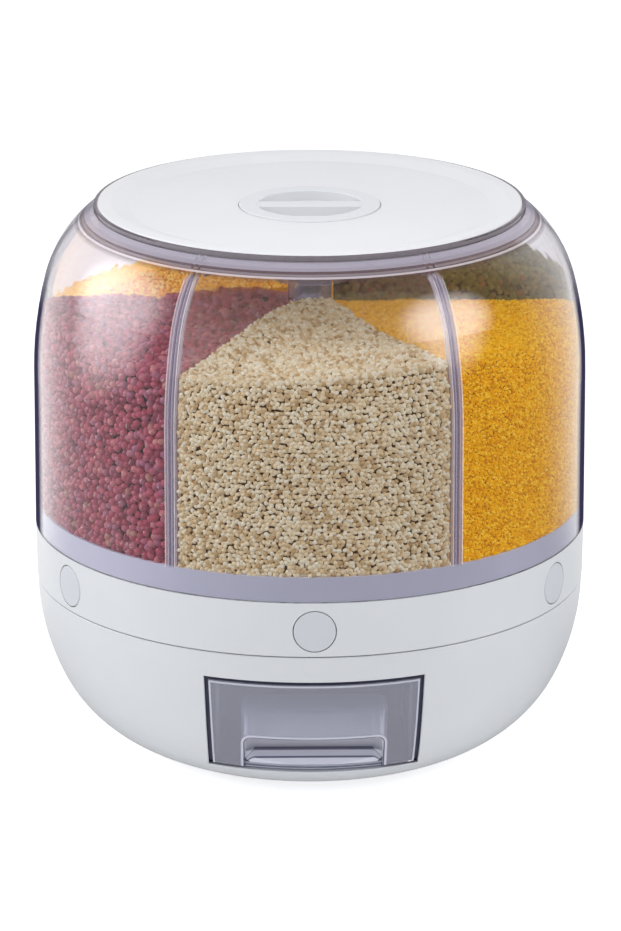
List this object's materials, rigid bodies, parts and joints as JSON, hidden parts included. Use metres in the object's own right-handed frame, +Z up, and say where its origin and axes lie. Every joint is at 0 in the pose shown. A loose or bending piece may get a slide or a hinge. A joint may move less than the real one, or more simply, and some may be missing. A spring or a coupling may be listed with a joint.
{
  "type": "rice dispenser",
  "caption": "Round rotating grain dispenser: clear divided hopper with lift-off lid, press-button gates on a turning ring, and a smoky drawer in a white bowl base.",
  "frame": {"origin": "centre of the footprint, on the surface that the feet stand on", "axes": "+Z up along the axis that the hopper turns about, -Y towards the drawer at the front"},
  "size_m": [0.33, 0.33, 0.3303],
  "materials": {
    "white_housing": "moulded white ABS, satin gloss",
    "white_lid": "moulded white ABS, satin gloss",
    "white_knob": "moulded white ABS, satin gloss",
    "white_button": "moulded white ABS, satin gloss",
    "white_inner": "moulded white polypropylene",
    "clear_shell": "clear moulded plastic, polished",
    "clear_divider": "clear moulded plastic, polished",
    "clear_inner": "clear moulded plastic, polished",
    "smoke_front": "smoky transparent plastic, polished",
    "smoke_tray": "smoky transparent plastic, polished",
    "grey_rubber": "soft rubber, matt",
    "silicone": "translucent white silicone",
    "acetal": "acetal, satin",
    "steel_ball": "polished steel",
    "steel_pin": "turned steel",
    "steel_screw": "zinc-plated steel",
    "spring_steel": "spring steel wire"
  },
  "bodies": {
    "base": {"base_bowl": "white_housing", "foot_pads": "grey_rubber", "base_deck": "white_inner", "deck_screws": "steel_screw", "drawer_bay": "white_inner", "bay_screws": "steel_screw", "discharge_chute": "white_inner", "lower_race": "acetal", "pivot_pin": "steel_pin", "pivot_washer": "steel_screw", "pivot_screw": "steel_screw"},
    "race_cage": {"ball_cage": "acetal", "race_balls": "steel_ball"},
    "hopper": {"button_ring": "white_housing", "floor_tray": "white_inner", "tray_rim": "white_inner", "outlet_funnel_1": "white_inner", "outlet_funnel_2": "white_inner", "outlet_funnel_3": "white_inner", "outlet_funnel_4": "white_inner", "outlet_funnel_5": "white_inner", "outlet_funnel_6": "white_inner", "gate_guide_plate": "white_inner", "upper_race": "acetal", "pivot_bush": "acetal", "guide_screws": "steel_screw", "clear_shell": "clear_shell", "centre_post": "clear_inner", "divider_1": "clear_divider", "divider_2": "clear_divider", "divider_3": "clear_divider", "divider_4": "clear_divider", "divider_5": "clear_divider", "divider_6": "clear_divider", "gate_spring_1": "spring_steel", "gate_spring_2": "spring_steel", "gate_spring_3": "spring_steel", "gate_spring_4": "spring_steel", "gate_spring_5": "spring_steel", "gate_spring_6": "spring_steel"},
    "lid": {"lid_cover": "white_lid", "lid_liner": "white_inner", "lid_seal": "silicone", "moisture_box": "clear_inner"},
    "knob": {"knob": "white_knob"},
    "drawer": {"drawer_tray": "smoke_tray", "drawer_front": "smoke_front", "finger_cup": "smoke_tray"},
    "button_1": {"button_cap_1": "white_button", "gate_slide_1": "white_inner"},
    "button_2": {"button_cap_2": "white_button", "gate_slide_2": "white_inner"},
    "button_3": {"button_cap_3": "white_button", "gate_slide_3": "white_inner"},
    "button_4": {"button_cap_4": "white_button", "gate_slide_4": "white_inner"},
    "button_5": {"button_cap_5": "white_button", "gate_slide_5": "white_inner"},
    "button_6": {"button_cap_6": "white_button", "gate_slide_6": "white_inner"}
  },
  "joints": [
    {"name": "hopper_turn", "type": "hinge", "parent": "base", "child": "hopper", "pos_m": [0, 0, 0.1026], "axis": [0, 0, 1], "continuous": true},
    {"name": "race_cage_turn", "type": "hinge", "parent": "base", "child": "race_cage", "pos_m": [0, 0, 0.0988], "axis": [0, 0, 1], "continuous": true},
    {"name": "lid_lift", "type": "slide", "parent": "hopper", "child": "lid", "axis": [0, 0, 1], "range_m": [0, 0.06]},
    {"name": "knob_turn", "type": "hinge", "parent": "lid", "child": "knob", "pos_m": [0, 0, 0.33], "axis": [0, 0, 1], "range_deg": [0, 60]},
    {"name": "drawer_pull", "type": "slide", "parent": "base", "child": "drawer", "axis": [0, -1, 0], "range_m": [0, 0.11]},
    {"name": "button_1_press", "type": "slide", "parent": "hopper", "child": "button_1", "axis": [0, 1, 0], "range_m": [0, 0.014], "stiffness_N_per_m": 180, "springref_m": -0.008, "deforming": ["gate_spring_1"]},
    {"name": "button_2_press", "type": "slide", "parent": "hopper", "child": "button_2", "axis": [-0.866, 0.5, 0], "range_m": [0, 0.014], "stiffness_N_per_m": 180, "springref_m": -0.008, "deforming": ["gate_spring_2"]},
    {"name": "button_3_press", "type": "slide", "parent": "hopper", "child": "button_3", "axis": [-0.866, -0.5, 0], "range_m": [0, 0.014], "stiffness_N_per_m": 180, "springref_m": -0.008, "deforming": ["gate_spring_3"]},
    {"name": "button_4_press", "type": "slide", "parent": "hopper", "child": "button_4", "axis": [0, -1, 0], "range_m": [0, 0.014], "stiffness_N_per_m": 180, "springref_m": -0.008, "deforming": ["gate_spring_4"]},
    {"name": "button_5_press", "type": "slide", "parent": "hopper", "child": "button_5", "axis": [0.866, -0.5, 0], "range_m": [0, 0.014], "stiffness_N_per_m": 180, "springref_m": -0.008, "deforming": ["gate_spring_5"]},
    {"name": "button_6_press", "type": "slide", "parent": "hopper", "child": "button_6", "axis": [0.866, 0.5, 0], "range_m": [0, 0.014], "stiffness_N_per_m": 180, "springref_m": -0.008, "deforming": ["gate_spring_6"]}
  ],
  "couplings": [
    {"joint": "race_cage_turn", "follows": "hopper_turn", "ratio": 0.5}
  ]
}
